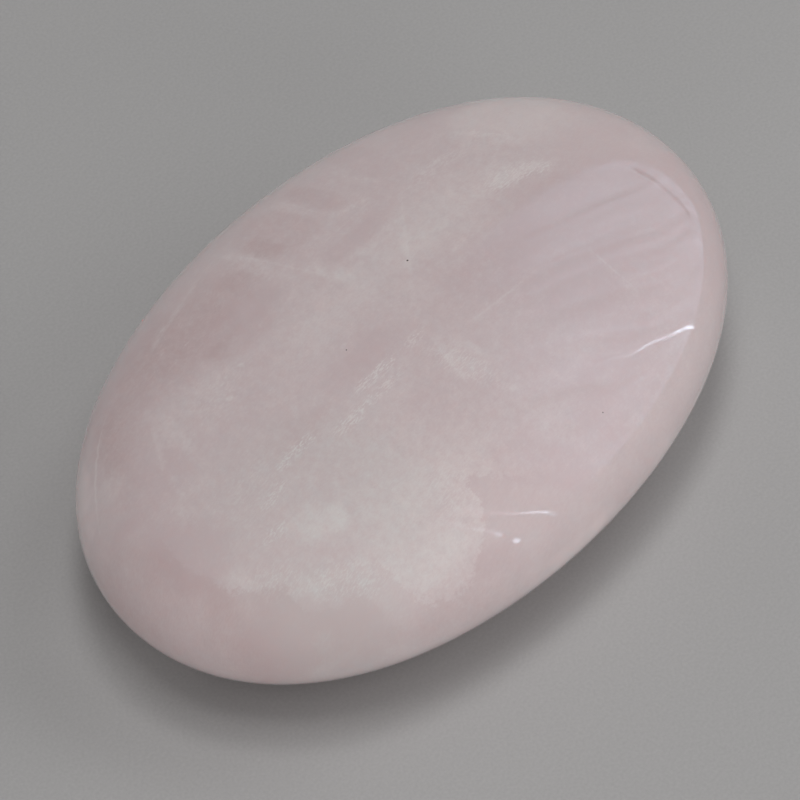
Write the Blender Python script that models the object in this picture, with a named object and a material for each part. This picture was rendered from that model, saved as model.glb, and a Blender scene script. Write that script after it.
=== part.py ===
"""Rose quartz palm stone: one polished oval pebble that rests on a small flat spot.

Metres, +Z up. The origin is the middle of the flat spot, +X runs along the stone and +Y across it.

The solid is a flat ellipsoid grown on all sides by a ball. That gives a gently domed face above and
below, and a rim that is equally round all the way, as on a stone shaped against a grinding wheel.
"""

import math

import bmesh
import bpy
from mathutils import Vector

LENGTH = 0.0720
WIDTH = 0.0464
THICKNESS = 0.0220
RIM_RADIUS = 0.0068
PLAN_FULLNESS = 0.009
FLAT_DEPTH = 0.00012

SEGMENTS_ROUND = 96
RINGS = 42

QUARTZ_COLOUR = (0.74, 0.62, 0.62, 1.0)
QUARTZ_ROUGHNESS = 0.08
QUARTZ_INDEX = 1.54

HALF_HEIGHT = (THICKNESS + FLAT_DEPTH) / 2
MIDDLE_HEIGHT = HALF_HEIGHT - FLAT_DEPTH


def clear_scene():
    """Removes whatever the open file holds."""
    for thing in list(bpy.data.objects):
        bpy.data.objects.remove(thing)


def quartz_material():
    """Pale milky pink, polished to a gloss."""
    material = bpy.data.materials.new("rose_quartz")
    material.use_nodes = True
    shader = material.node_tree.nodes["Principled BSDF"]
    shader.inputs["Base Color"].default_value = QUARTZ_COLOUR
    shader.inputs["Roughness"].default_value = QUARTZ_ROUGHNESS
    shader.inputs["Metallic"].default_value = 0.0
    shader.inputs["IOR"].default_value = QUARTZ_INDEX
    return material


def grown_ellipsoid_point(direction):
    """The pebble's surface point for a direction on the unit sphere, about the stone's middle.

    The core ellipsoid's normal leans halfway between the direction and its true normal, which
    spreads the rings of points evenly over the faces and the rim.
    """
    core = Vector((LENGTH / 2, WIDTH / 2, HALF_HEIGHT)) - Vector((RIM_RADIUS,) * 3)
    normal = Vector(d / math.sqrt(c) for d, c in zip(direction, core)).normalized()
    scaled = Vector(c * n for c, n in zip(core, normal))
    on_core = Vector(c * s for c, s in zip(core, scaled)) / scaled.length
    return on_core + RIM_RADIUS * normal


def fill_out_plan(point):
    """Swells the plan a little along its diagonals, because the oval is fuller than an ellipse."""
    along = point.x / (LENGTH / 2)
    across = point.y / (WIDTH / 2)
    outwards = along * along + across * across
    turn = math.atan2(across, along)
    swell = 1 + PLAN_FULLNESS * outwards * math.sin(2 * turn) ** 2
    return Vector((point.x * swell, point.y * swell, point.z))


def shaped_sphere():
    """A unit sphere with each point moved to the pebble's surface, and the flat spot at Z = 0."""
    shape = bmesh.new()
    bmesh.ops.create_uvsphere(
        shape, u_segments=SEGMENTS_ROUND, v_segments=RINGS, radius=1.0
    )
    for vertex in shape.verts:
        point = fill_out_plan(grown_ellipsoid_point(vertex.co))
        vertex.co = point + Vector((0, 0, MIDDLE_HEIGHT))
    return shape


def grind_flat_spot(shape):
    """Cuts the underside level at Z = 0 and closes it with one flat face."""
    everything = shape.verts[:] + shape.edges[:] + shape.faces[:]
    cut = bmesh.ops.bisect_plane(
        shape,
        geom=everything,
        dist=1e-7,
        plane_co=(0, 0, 0),
        plane_no=(0, 0, 1),
        clear_inner=True,
    )
    rim = [item for item in cut["geom_cut"] if isinstance(item, bmesh.types.BMEdge)]
    bmesh.ops.contextual_create(shape, geom=rim)
    bmesh.ops.recalc_face_normals(shape, faces=shape.faces)


def add_stone(collection):
    """The whole object: one solid stone."""
    shape = shaped_sphere()
    grind_flat_spot(shape)
    mesh = bpy.data.meshes.new("stone")
    shape.to_mesh(mesh)
    shape.free()
    mesh.shade_smooth()
    mesh.set_sharp_from_angle(angle=math.radians(30))
    mesh.materials.append(quartz_material())
    stone = bpy.data.objects.new("stone", mesh)
    collection.objects.link(stone)
    return stone


def main():
    """Builds the palm stone in its own collection."""
    clear_scene()
    collection = bpy.data.collections.new("rose_quartz_palm_stone")
    bpy.context.scene.collection.children.link(collection)
    add_stone(collection)


main()
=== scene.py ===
"""Looks of a rose quartz palm stone: its polished surface, the milk and veils in it, and its light.

Lengths are in metres, except where a name or a docstring says millimetres. +X runs along the stone,
+Y across it and +Z up, from the middle of the flat spot that the stone rests on.
"""

import logging
import math
import random
from dataclasses import dataclass, replace
from enum import Enum
from typing import ClassVar

import bpy
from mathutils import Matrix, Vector


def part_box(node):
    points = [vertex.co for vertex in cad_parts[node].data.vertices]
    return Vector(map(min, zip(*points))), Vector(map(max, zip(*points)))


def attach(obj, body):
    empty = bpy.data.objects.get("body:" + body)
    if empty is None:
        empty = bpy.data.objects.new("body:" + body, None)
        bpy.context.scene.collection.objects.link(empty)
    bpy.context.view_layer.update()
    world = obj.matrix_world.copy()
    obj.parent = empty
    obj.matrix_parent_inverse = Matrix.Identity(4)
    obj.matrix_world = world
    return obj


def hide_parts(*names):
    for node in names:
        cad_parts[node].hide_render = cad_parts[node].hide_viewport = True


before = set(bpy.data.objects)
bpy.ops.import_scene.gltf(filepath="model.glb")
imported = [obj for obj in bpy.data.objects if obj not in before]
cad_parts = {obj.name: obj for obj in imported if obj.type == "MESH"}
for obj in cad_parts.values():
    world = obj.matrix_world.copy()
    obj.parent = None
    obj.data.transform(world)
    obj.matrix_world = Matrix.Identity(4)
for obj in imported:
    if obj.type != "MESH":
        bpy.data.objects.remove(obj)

LOG = logging.getLogger("palm_stone")

MM = 0.001
IMAGE_SIDE_PX = 800
SENSOR_WIDTH_MM = 36.0
STONE_NODE = "stone"
TONES = "quartz_tones"
THREADS = "quartz_threads"

Colour = tuple[float, float, float]
Point = tuple[float, float, float]
Socket = bpy.types.NodeSocket
Wire = Socket | float | int | bool | tuple | Vector | None

UNSTRETCHED = (1.0, 1.0, 1.0)


@dataclass(frozen=True)
class Grain:
    """A pattern of fractal noise.

    Attributes:
        size: the width of its largest lumps, in the unit of the coordinate that it is read at.
        detail: how many finer octaves it has.
        roughness: how strong the finer octaves are.
        stretch: what the coordinate is multiplied by, small along the way that the lumps are long.
    """

    size: float
    detail: float = 3.0
    roughness: float = 0.5
    stretch: Point = UNSTRETCHED


Push = tuple[Grain, float]


class Graph:
    """A node tree under construction, in which each call adds a node and hands back its output."""

    # A colour Mix node's sockets share their names with those of its other types, so they go by number.
    MIX_FACTOR, MIX_FIRST, MIX_SECOND = 0, 6, 7
    MIX_RESULT = 2
    # What a noise node gives lies about this middle, and seldom further from it than this.
    NOISE_MIDDLE = 0.5
    NOISE_REACH = 0.25

    def __init__(self, tree: bpy.types.NodeTree) -> None:
        """Keeps the tree that the calls add to.

        Args:
            tree: a shader, world or geometry node tree, or a node group.
        """
        self.tree = tree

    def feed(self, socket: Socket, value: Wire) -> None:
        """Links an output to a socket, or sets the socket's own value.

        Args:
            socket: the input to fill.
            value: an output of another node, a constant, or None to leave the input alone.
        """
        if value is None:
            return
        if isinstance(value, Socket):
            self.tree.links.new(value, socket)
        elif socket.type == "RGBA" and len(value) == 3:
            socket.default_value = (*value, 1.0)
        else:
            socket.default_value = value

    def add(
        self, kind: str, inputs: dict[str | int, Wire] | None = None, **settings: object
    ) -> bpy.types.Node:
        """Adds a node.

        Args:
            kind: the node's type name.
            inputs: input names or numbers, with what goes into each.
            **settings: the node's own properties, set before its inputs.

        Returns:
            The new node.
        """
        node = self.tree.nodes.new(kind)
        for name, value in settings.items():
            setattr(node, name, value)
        for name, value in (inputs or {}).items():
            self.feed(node.inputs[name], value)
        return node

    def math(self, operation: str, *values: Wire) -> Socket:
        """The result of one Math node on plain numbers."""
        return self.add("ShaderNodeMath", dict(enumerate(values)), operation=operation).outputs[0]

    def vector(self, operation: str, *values: Wire) -> Socket:
        """The result of one Vector Math node that gives a vector."""
        node = self.add("ShaderNodeVectorMath", dict(enumerate(values)), operation=operation)
        return node.outputs["Vector"]

    def scale(self, vector: Wire, factor: Wire) -> Socket:
        """A vector times a number."""
        node = self.add("ShaderNodeVectorMath", {0: vector, "Scale": factor}, operation="SCALE")
        return node.outputs["Vector"]

    def dot(self, first: Wire, second: Wire) -> Socket:
        """The dot product of two vectors."""
        node = self.add("ShaderNodeVectorMath", {0: first, 1: second}, operation="DOT_PRODUCT")
        return node.outputs["Value"]

    def length(self, vector: Wire) -> Socket:
        """A vector's length."""
        return self.add("ShaderNodeVectorMath", {0: vector}, operation="LENGTH").outputs["Value"]

    def split(self, vector: Wire) -> tuple[Socket, ...]:
        """A vector's X, Y and Z."""
        return tuple(self.add("ShaderNodeSeparateXYZ", {0: vector}).outputs)

    def join(self, x: Wire, y: Wire, z: Wire) -> Socket:
        """A vector made of three numbers."""
        return self.add("ShaderNodeCombineXYZ", {0: x, 1: y, 2: z}).outputs[0]

    def step(
        self, value: Wire, low: Wire, high: Wire, to_low: Wire = 0.0, to_high: Wire = 1.0
    ) -> Socket:
        """A smooth ramp of value from low to high, held level outside them.

        Args:
            value: the number to map.
            low: where the ramp starts.
            high: where it ends.
            to_low: what it gives at low.
            to_high: what it gives at high.

        Returns:
            The mapped number.
        """
        places = {"Value": value, "From Min": low, "From Max": high, "To Min": to_low, "To Max": to_high}
        node = self.add("ShaderNodeMapRange", places, interpolation_type="SMOOTHSTEP", clamp=False)
        return node.outputs["Result"]

    def noise(self, where: Wire, grain: Grain) -> bpy.types.Node:
        """Fractal noise.

        Args:
            where: the coordinate to read it at.
            grain: its pattern.

        Returns:
            The node, with outputs Fac, about 0.5 on average, and Color.
        """
        if grain.stretch != UNSTRETCHED:
            where = self.vector("MULTIPLY", where, grain.stretch)
        inputs = {"Vector": where, "Scale": 1.0 / grain.size}
        inputs |= {"Detail": grain.detail, "Roughness": grain.roughness}
        return self.add("ShaderNodeTexNoise", inputs)

    def spread(self, noise: bpy.types.Node, reach: float) -> Socket:
        """A noise node's factor as a number about 0, as far as reach either way."""
        gain = reach / self.NOISE_REACH
        return self.math("MULTIPLY_ADD", noise.outputs["Fac"], gain, -gain * self.NOISE_MIDDLE)

    def wander(self, where: Wire, *pushes: Push) -> Wire:
        """A coordinate pushed about by noise, so that what is drawn on it has uneven edges.

        Args:
            where: the coordinate.
            *pushes: the pattern of each push and how far it reaches, the broadest first.

        Returns:
            The pushed coordinate.
        """
        for grain, reach in pushes:
            pattern = self.noise(where, grain).outputs["Color"]
            way = self.vector("SUBTRACT", pattern, (self.NOISE_MIDDLE,) * 3)
            where = self.vector("ADD", where, self.scale(way, reach / self.NOISE_MIDDLE))
        return where

    def total(self, *parts: Wire) -> Wire:
        """The sum of several numbers.

        Args:
            *parts: the numbers.

        Returns:
            Their sum.
        """
        whole = parts[0]
        for part in parts[1:]:
            whole = self.math("ADD", whole, part)
        return whole

    def group(self, tree: bpy.types.NodeTree, inputs: dict[str, Wire]) -> bpy.types.Node:
        """Adds a node group of the same kind of tree as this one."""
        kind = self.tree.bl_idname.replace("NodeTree", "NodeGroup")
        return self.add(kind, inputs, node_tree=tree)

    def stored(self, name: str) -> Socket:
        """A vector that the geometry nodes stored at the mesh's points."""
        return self.add("ShaderNodeAttribute", attribute_name=name).outputs["Vector"]

    def mix(self, factor: Wire, first: Wire, second: Wire) -> Socket:
        """A colour between two, by a factor from 0 to 1."""
        colours = {self.MIX_FACTOR: factor, self.MIX_FIRST: first, self.MIX_SECOND: second}
        return self.add("ShaderNodeMix", colours, data_type="RGBA").outputs[self.MIX_RESULT]


@dataclass(frozen=True)
class PebbleShape:
    """The rule that the stone's surface follows: a flat ellipsoid grown on all sides by a ball.

    Attributes:
        length: along X.
        width: along Y.
        thickness: from the flat spot to the top.
        rim_radius: the ball's radius, which rounds the rim.
        plan_fullness: how far the plan swells past an ellipse on its diagonals, as a share.
        flat_depth: how much of the bottom is ground away to make the flat spot.
        facets: how many facets the starting box has along X, Y and Z.
        ripple_height: how far hand polishing leaves the surface from the rule.
        ripple_size: how wide those soft hollows are.
        ripple_seed: which hollows they are.
    """

    length: float
    width: float
    thickness: float
    rim_radius: float = 6.8 * MM
    plan_fullness: float = 0.009
    flat_depth: float = 0.12 * MM
    facets: tuple[int, int, int] = (190, 124, 60)
    ripple_height: float = 0.035 * MM
    ripple_size: float = 13.0 * MM
    ripple_seed: float = 4.0

    @classmethod
    def filling(cls, node: str) -> "PebbleShape":
        """The shape that fills a CAD node's box.

        Args:
            node: the CAD node's name.

        Returns:
            A shape with that box's length, width and thickness.
        """
        low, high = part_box(node)
        return cls(length=high.x - low.x, width=high.y - low.y, thickness=high.z - low.z)


class PebbleTree:
    """The geometry node tree that makes the stone's surface from the rule's named sizes.

    It starts from a box of fine facets blown up to a ball, moves each point to the surface that the
    rule gives, and stores there how milky, pink and cracked the quartz is and where a painted glow
    lightens its rim.
    """

    SIZES = ("Length", "Width", "Thickness", "Rim Radius", "Plan Fullness", "Flat Depth")
    RIPPLES = ("Ripple Height", "Ripple Size", "Ripple Seed")
    # Keeps the stone's axis, where the plan's swelling has no direction, from a division by 0.
    LEAST = 1e-9

    def __init__(self, tones: "QuartzTones") -> None:
        """Builds the tree.

        Args:
            tones: where the quartz is milky, pink or cracked.
        """
        self.tones = tones
        self.tree = bpy.data.node_groups.new("pebble_surface", "GeometryNodeTree")
        self.graph = Graph(self.tree)
        interface = self.tree.interface
        for name in self.SIZES + self.RIPPLES:
            interface.new_socket(name, in_out="INPUT", socket_type="NodeSocketFloat")
        for axis in "XYZ":
            interface.new_socket(f"Facets {axis}", in_out="INPUT", socket_type="NodeSocketInt")
        interface.new_socket("Material", in_out="INPUT", socket_type="NodeSocketMaterial")
        interface.new_socket("Geometry", in_out="OUTPUT", socket_type="NodeSocketGeometry")
        self.given = self.tree.nodes.new("NodeGroupInput").outputs
        self._assemble()

    def _assemble(self) -> None:
        """Adds and links the tree's nodes, from the box to the finished stone.

        The box is blown up to a ball, moved to the rule's surface, hollowed a little, ground flat
        below, given its tones and then its material.
        """
        graph = self.graph
        facets = {axis: self.given[f"Facets {axis}"] for axis in "XYZ"}
        counts = {f"Vertices {axis}": graph.math("ADD", facets[axis], 1.0) for axis in "XYZ"}
        box = graph.add("GeometryNodeMeshCube", {"Size": (2.0, 2.0, 2.0), **counts})
        # The tangent spaces the box's points evenly over the ball.
        even = graph.scale(graph.add("GeometryNodeInputPosition").outputs[0], math.pi / 4)
        place, normal = self._on_surface(graph.vector("NORMALIZE", graph.vector("TANGENT", even)))
        place = self._ground_flat(self._rippled(place, normal))
        moved = graph.add("GeometryNodeSetPosition", {"Geometry": box.outputs["Mesh"], "Position": place})
        stone = moved.outputs[0]
        at_mm = graph.scale(graph.add("GeometryNodeInputPosition").outputs[0], 1.0 / MM)
        for name, vector in self.tones.at(graph, at_mm).items():
            store = graph.add("GeometryNodeStoreNamedAttribute", data_type="FLOAT_VECTOR", domain="POINT")
            for socket, value in {"Geometry": stone, "Name": name, "Value": vector}.items():
                graph.feed(store.inputs[socket], value)
            stone = store.outputs[0]
        smooth = graph.add("GeometryNodeSetShadeSmooth", {0: stone})
        real = graph.add("GeometryNodeRealizeInstances", {0: smooth.outputs[0]})
        finish = {"Geometry": real.outputs[0], "Material": self.given["Material"]}
        dressed = graph.add("GeometryNodeSetMaterial", finish)
        graph.add("NodeGroupOutput", {"Geometry": dressed.outputs[0]})

    def _half_sizes(self) -> tuple[Socket, ...]:
        """Half the stone's sizes before its bottom is ground.

        Returns:
            Half the length, the width and the thickness.
        """
        graph = self.graph
        full = graph.math("ADD", self.given["Thickness"], self.given["Flat Depth"])
        sizes = (self.given["Length"], self.given["Width"], full)
        return tuple(graph.math("MULTIPLY", size, 0.5) for size in sizes)

    def _on_surface(self, direction: Wire) -> tuple[Socket, Socket]:
        """The surface point and its normal for a direction on the unit sphere.

        Args:
            direction: a point of the unit sphere.

        Returns:
            The point, about the stone's middle, and the unit normal there.
        """
        graph = self.graph
        radius = self.given["Rim Radius"]
        halves = self._half_sizes()
        cores = tuple(graph.math("SUBTRACT", half, radius) for half in halves)
        core = graph.join(*cores)
        roots = graph.join(*(graph.math("SQRT", size) for size in cores))
        normal = graph.vector("NORMALIZE", graph.vector("DIVIDE", direction, roots))
        scaled = graph.vector("MULTIPLY", core, normal)
        shrink = graph.math("DIVIDE", 1.0, graph.length(scaled))
        on_core = graph.scale(graph.vector("MULTIPLY", core, scaled), shrink)
        grown = graph.vector("ADD", on_core, graph.scale(normal, radius))
        return self._filled_out(grown, halves), normal

    def _filled_out(self, place: Wire, halves: tuple[Socket, ...]) -> Socket:
        """The point pushed outwards in plan, most on the diagonals.

        Args:
            place: a point about the stone's middle.
            halves: half the length, the width and the thickness.

        Returns:
            The pushed point.
        """
        graph = self.graph
        x, y, z = graph.split(place)
        along = graph.math("POWER", graph.math("DIVIDE", x, halves[0]), 2.0)
        across = graph.math("POWER", graph.math("DIVIDE", y, halves[1]), 2.0)
        both = graph.math("MAXIMUM", graph.math("ADD", along, across), self.LEAST)
        # 0 on both axes, and 1 where the plan's outline meets a diagonal.
        product = graph.math("MULTIPLY", graph.math("MULTIPLY", along, across), 4.0)
        diagonal = graph.math("DIVIDE", product, both)
        swell = graph.math("MULTIPLY_ADD", diagonal, self.given["Plan Fullness"], 1.0)
        return graph.join(graph.math("MULTIPLY", x, swell), graph.math("MULTIPLY", y, swell), z)

    def _rippled(self, place: Wire, normal: Wire) -> Socket:
        """The point sunk into the soft hollows of hand polishing.

        Args:
            place: a point about the stone's middle.
            normal: the unit normal there.

        Returns:
            The sunk point.
        """
        graph = self.graph
        frequency = graph.math("DIVIDE", 1.0, self.given["Ripple Size"])
        inputs = {"Vector": place, "W": self.given["Ripple Seed"], "Scale": frequency, "Detail": 1.0}
        hollow = graph.add("ShaderNodeTexNoise", inputs, noise_dimensions="4D").outputs["Fac"]
        depth = graph.math("MULTIPLY", graph.math("MULTIPLY", hollow, self.given["Ripple Height"]), -1.0)
        return graph.vector("ADD", place, graph.scale(normal, depth))

    def _ground_flat(self, place: Wire) -> Socket:
        """The point lifted to its height above the ground, and kept from going below it.

        Args:
            place: a point about the stone's middle.

        Returns:
            The point above the flat spot.
        """
        graph = self.graph
        x, y, z = graph.split(place)
        middle = graph.math("SUBTRACT", self._half_sizes()[2], self.given["Flat Depth"])
        return graph.join(x, y, graph.math("MAXIMUM", graph.math("ADD", z, middle), 0.0))

    def values_for(self, shape: PebbleShape, material: bpy.types.Material) -> dict[str, object]:
        """What each named input gets.

        Args:
            shape: the sizes.
            material: the surface's finish.

        Returns:
            A value for each input's name.
        """
        names = self.SIZES + self.RIPPLES
        values = {name: getattr(shape, name.lower().replace(" ", "_")) for name in names}
        facets = {f"Facets {axis}": count for axis, count in zip("XYZ", shape.facets)}
        return {**values, **facets, "Material": material}


class Habit(Enum):
    """How a marking lies in the quartz."""

    COTTON = "part of the cloud with a crisp, ragged outline"
    BILLOW = "a soft milky swelling"
    HOLLOW = "a soft clear gap"
    HAZE = "a soft change of tone that adds to what else is there"
    SKIN = "a soft change of tone that the crisp cloud covers"
    ASH = "a stretch where the milk is greyer"
    PANE = "a stretch between flat sheets, with straight, fairly crisp sides"
    VEIL = "a sheet seen edge on, wide enough to be soft"
    THREAD = "a thin, sharp sheet seen edge on"
    FIBRES = "a healed crack that shows as short dashes along the stone"
    FLECK = "a small white spot"
    SPECK = "a dark grain of another mineral"


@dataclass(frozen=True)
class Marking:
    """A cloud, veil or fleck in the quartz: an ellipsoid that is milkier, clearer, pinker or darker.

    Lengths are in millimetres. Heights are given from the stone's brow. A marking runs straight up
    from there, so the brow and all above it are at 0 and what is lower is negative.

    Attributes:
        at: its middle.
        reach: how far it extends each way from the middle.
        turn: how far its length is turned from +X towards +Y, in degrees.
        milk: how much it whitens the quartz, or clears it where negative.
        pink: how much it deepens the pink; where negative, it lightens the clear quartz towards a painted
        glow that stands for light shining through the rim.
        habit: how it lies in the quartz.
        core: the share of its reach over which it has its full strength.
        bend: how far its ends bow across its length, in halves of its width.
    """

    at: Point
    reach: Point
    turn: float = 0.0
    milk: float = 0.0
    pink: float = 0.0
    habit: Habit = Habit.HAZE
    core: float = 0.0
    bend: float = 0.0

    def axes(self) -> tuple[Point, Point, Point]:
        """Its length's, width's and height's directions, each divided by its reach.

        Returns:
            Three vectors, per millimetre.
        """
        turn = math.radians(self.turn)
        along, across, upward = self.reach
        return (
            (math.cos(turn) / along, math.sin(turn) / along, 0.0),
            (-math.sin(turn) / across, math.cos(turn) / across, 0.0),
            (0.0, 0.0, 1.0 / upward),
        )


# The brow is the height where the upper face turns down into the rim, and the reaches are how far
# markings of the upper face and of the lower half go down from their middles.
BROW_MM = 14.0
UPPER_REACH_MM = 12.0
LOWER_REACH_MM = 5.0
# A sheet narrower than this is a thread. Half its length is a little over half the way between its ends.
THREAD_WIDTH_MM = 0.5
SHEET_HALF = 0.53
# How many markings the lower half has, how much of the plan they lie in, and which arrangement it is.
LOWER_COUNT = 22
LOWER_SHARE = 0.9
LOWER_SEED = 41


def patch(
    x: float,
    y: float,
    along: float,
    across: float,
    turn: float = 0.0,
    milk: float = 0.0,
    pink: float = 0.0,
    core: float = 0.2,
) -> Marking:
    """A marking that meets the upper face.

    Args:
        x: its middle along the stone, in millimetres.
        y: its middle across the stone, in millimetres.
        along: half its length, in millimetres.
        across: half its width, in millimetres.
        turn: how far its length is turned from +X, in degrees.
        milk: how much it whitens the quartz.
        pink: how much it deepens the pink.
        core: the share of its reach with full strength.

    Returns:
        The marking.
    """
    return Marking((x, y, 0.0), (along, across, UPPER_REACH_MM), turn, milk, pink, core=core)


def alike(habit: Habit, marks: list[Marking]) -> list[Marking]:
    """Markings that lie in the quartz in the same way."""
    return [replace(mark, habit=habit) for mark in marks]


def sheet(
    start: tuple[float, float], end: tuple[float, float], sag: float, width: float, milk: float
) -> Marking:
    """A sheet that meets the upper face edge on; a very narrow one is a thread.

    Args:
        start: where it begins, in millimetres.
        end: where it ends, in millimetres.
        sag: how far its middle bows to the left of the way from start to end, in millimetres.
        width: its full width, in millimetres.
        milk: how much it whitens the quartz.

    Returns:
        The marking.
    """
    run = Vector(end) - Vector(start)
    left = Vector((-run.y, run.x)).normalized()
    middle = (Vector(end) + Vector(start)) / 2 + left * sag
    turn = math.degrees(math.atan2(run.y, run.x))
    reach = (run.length * SHEET_HALF, width / 2, UPPER_REACH_MM)
    habit = Habit.THREAD if width < THREAD_WIDTH_MM else Habit.VEIL
    return Marking((*middle, 0.0), reach, turn, milk, habit=habit, core=0.15, bend=sag / (width / 2))


def crisp_cloud() -> list[Marking]:
    """The ellipses whose joint outline is the ragged lower edge of the big cloud.

    Returns:
        The markings.
    """
    marks = [
        patch(-24.0, -2.0, 8.3, 8.6),
        patch(-24.6, -10.4, 4.4, 3.6),
        patch(-16.8, -14.2, 5.4, 5.8),
        patch(-12.5, -12.0, 9.5, 4.0, 38.0),
        patch(-17.0, 2.0, 14.6, 15.6),
        patch(4.0, -2.0, 20.0, 20.0),
    ]
    return alike(Habit.COTTON, marks)


def billows() -> list[Marking]:
    """The soft milky swellings and the clear gaps of the upper face.

    Returns:
        The markings.
    """
    swellings = [
        patch(-15.0, -14.6, 12.6, 9.0, -6.0, milk=0.26, core=0.30),
        patch(-15.0, -8.0, 13.0, 9.0, 0.0, milk=0.14, core=0.10),
        patch(-14.0, -13.6, 7.0, 5.4, 20.0, milk=0.34, core=0.20),
        patch(-17.6, -17.6, 5.0, 3.2, -10.0, milk=0.34, core=0.30),
        patch(-23.6, -6.8, 3.6, 3.2, 0.0, milk=0.40, core=0.10),
        patch(-21.8, -8.4, 3.0, 1.8, -10.0, milk=0.62, core=0.05),
        patch(-15.8, -12.8, 3.8, 2.8, 20.0, milk=0.44, core=0.05),
        patch(-31.4, -4.0, 2.6, 7.6, 8.0, milk=0.05, core=0.50),
        patch(-30.4, -6.2, 1.4, 3.0, 24.0, milk=0.18, core=0.20),
        patch(-26.4, -12.2, 2.0, 5.0, 48.0, milk=0.14, core=0.30),
        patch(-29.4, 1.8, 2.6, 3.6, 4.0, milk=0.16, core=0.30),
        patch(-24.2, 7.2, 1.8, 3.6, -24.0, milk=0.30, core=0.10),
        patch(-25.0, 3.4, 3.0, 5.0, -20.0, milk=0.08, core=0.15),
        patch(-18.2, 7.6, 5.6, 3.2, 0.0, milk=0.20, core=0.10),
        patch(-8.0, 4.4, 10.5, 3.0, -4.0, milk=0.12, core=0.20),
        patch(-2.4, -9.4, 1.8, 6.4, -3.0, milk=0.16, core=0.20),
        patch(18.0, 3.2, 4.2, 1.8, -16.0, milk=0.20, core=0.15),
        patch(20.0, 7.0, 5.0, 2.0, -16.0, milk=0.16, core=0.10),
        patch(26.0, 8.6, 6.0, 4.4, -24.0, milk=0.24, core=0.15),
        patch(-5.0, 15.4, 1.2, 6.0, 8.0, milk=0.14, core=0.30),
        patch(-1.4, 6.9, 1.5, 2.8, 20.0, milk=0.36, core=0.15),
        patch(22.5, 8.6, 4.2, 2.4, -14.0, milk=0.28, core=0.20),
        patch(18.4, 2.0, 4.8, 1.6, -12.0, milk=0.50, core=0.10),
        patch(2.6, 2.0, 9.0, 3.2, 46.0, milk=0.06, core=0.15),
        patch(3.6, 11.6, 5.0, 1.2, 0.0, milk=0.12, core=0.20),
    ]
    gaps = [
        patch(-17.2, -1.8, 4.8, 1.6, 0.0, milk=-0.13, core=0.20),
        patch(-18.4, -6.0, 2.4, 1.4, 0.0, milk=-0.14, core=0.10),
        patch(22.4, 13.2, 3.0, 2.4, -24.0, milk=-0.14, core=0.20),
        # This one makes a long band along the far upper-left edge less milky, and so darker.
        patch(-17.0, 18.0, 14.0, 1.8, 10.0, milk=-0.20, core=0.20),
    ]
    return alike(Habit.BILLOW, swellings) + alike(Habit.HOLLOW, gaps)


def tones() -> list[Marking]:
    """The broad changes of tone: pinker, paler and clearer stretches, and a painted glow at the rim.

    Returns:
        The markings.
    """
    return [
        patch(-14.5, 14.2, 14.0, 5.6, 6.0, milk=-0.10, pink=0.54, core=0.40),
        patch(-26.0, 12.0, 6.0, 3.4, 34.0, milk=-0.06, pink=0.40),
        patch(-16.4, 13.4, 2.6, 4.0, 0.0, pink=0.24, core=0.3),
        patch(-17.5, -1.8, 5.0, 1.9, 0.0, pink=0.16, core=0.3),
        patch(6.0, -4.0, 8.0, 5.0, 0.0, pink=0.14),
        patch(-1.4, -17.0, 2.6, 3.4, 0.0, milk=0.12),
        patch(20.0, -9.0, 17.0, 11.0, 0.0, milk=-0.26, core=0.5),
        patch(26.0, 8.0, 9.0, 6.0, -30.0, milk=0.34, core=0.3),
        patch(7.0, 4.6, 22.0, 4.4, 0.0, milk=0.14, core=0.3),
        patch(13.0, 20.0, 14.0, 4.0, -10.0, milk=0.12),
        patch(6.0, -18.4, 11.0, 4.0, 8.0, milk=-0.20, core=0.3),
        patch(-31.0, -1.4, 3.6, 6.4, -6.0, milk=-0.36, core=0.3),
        patch(-28.7, -12.1, 10.0, 2.6, -48.0, milk=-0.42, core=0.2),
        patch(-26.8, 7.8, 4.0, 4.4, 0.0, milk=-0.20),
        patch(16.0, -14.4, 5.4, 3.2, 0.0, milk=0.16),
        patch(-31.4, 5.6, 2.0, 2.0, 0.0, milk=-0.24),
        patch(-29.2, 10.2, 2.6, 2.2, 30.0, milk=0.26),
        patch(-8.4, 10.4, 4.6, 2.6, -10.0, milk=-0.34, core=0.2),
        patch(6.0, 5.0, 14.0, 4.0, 0.0, milk=0.06),
        # The last three paint light: their negative pink lightens the clear quartz at the near rim and the
        # far left end, a painted glow that stands for light shining through the thin edge.
        Marking((4.0, -25.5, -5.0), (40.0, 5.9, 10.5), 0.0, pink=-0.88, core=0.15),
        Marking((-25.0, -20.0, -6.0), (12.0, 5.4, 7.0), -35.0, pink=-0.4, core=0.3),
        Marking((-29.6, 13.8, -1.0), (13.0, 3.2, 12.0), 44.0, pink=-0.74, core=0.1),
    ]


def skin() -> list[Marking]:
    """The pinker stretches of the rim, which the crisp cloud covers where they meet it.

    Returns:
        The markings.
    """
    marks = [
        patch(-34.6, 1.0, 3.6, 12.0, 8.0, pink=0.50, core=0.4),
        patch(-32.0, -10.5, 5.6, 9.0, 40.0, pink=0.62, core=0.5),
        patch(-20.0, -20.4, 12.0, 3.2, -18.0, pink=0.36, core=0.4),
        patch(-25.4, -16.0, 5.0, 2.4, -45.0, pink=0.40, core=0.3),
    ]
    return alike(Habit.SKIN, marks)


def ashes() -> list[Marking]:
    """The stretches of the left end where the milk is greyer.

    Returns:
        The markings.
    """
    marks = [
        patch(-23.0, -8.0, 15.0, 15.0, 0.0, milk=0.28, core=0.4),
        patch(-28.0, -13.6, 9.0, 5.0, -55.0, milk=0.30, core=0.3),
    ]
    return alike(Habit.ASH, marks)


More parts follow.
